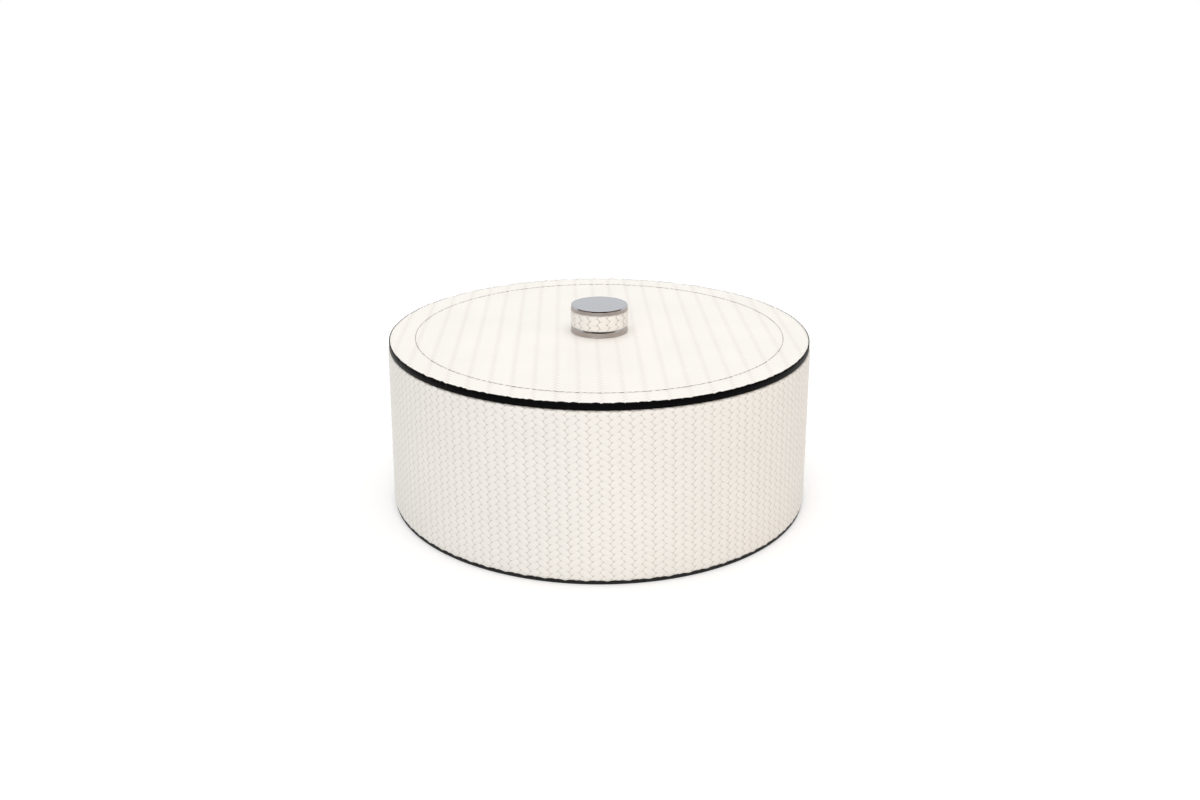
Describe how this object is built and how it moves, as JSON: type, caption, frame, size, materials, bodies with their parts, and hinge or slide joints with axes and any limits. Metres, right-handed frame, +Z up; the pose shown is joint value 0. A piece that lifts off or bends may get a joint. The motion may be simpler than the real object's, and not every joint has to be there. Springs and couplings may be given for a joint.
{
  "type": "round leather box",
  "caption": "Round lidded box covered in plaited leather, with a flat lift-off lid, a black edge and a metal and leather knob",
  "frame": {"origin": "centre of the underside of the box", "axes": "+Z up along the axis of the round box, -Y towards the front of the picture"},
  "size_m": [0.2112, 0.2112, 0.0981],
  "materials": {
    "plaited_leather": "embossed, satin",
    "smooth_leather": "smooth, satin",
    "lining_suede": "suede, matte",
    "black_suede": "suede, matte",
    "edge_paint": "gloss edge paint",
    "board": "plain fibreboard",
    "card": "grey card",
    "foam": "soft foam",
    "polished_metal": "polished",
    "plain_steel": "zinc plated"
  },
  "bodies": {
    "box": {"base_sheet": "black_suede", "base_filler": "card", "base_board": "board", "wall_core": "board", "side_leather": "plaited_leather", "lining_board": "card", "lining_suede": "lining_suede", "floor_card": "card", "floor_foam": "foam", "floor_suede": "lining_suede"},
    "lid": {"lid_under_leather": "smooth_leather", "lid_board": "card", "lid_leather": "plaited_leather", "lid_edge": "edge_paint", "plug_board": "board", "plug_suede": "lining_suede", "knob_ring": "polished_metal", "knob_leather": "plaited_leather", "knob_cap": "polished_metal", "knob_washer": "plain_steel", "knob_screw": "plain_steel"}
  },
  "joints": [
    {"name": "lid_lift", "type": "slide", "parent": "box", "child": "lid", "axis": [0, 0, 1], "range_m": [0, 0.08]}
  ]
}
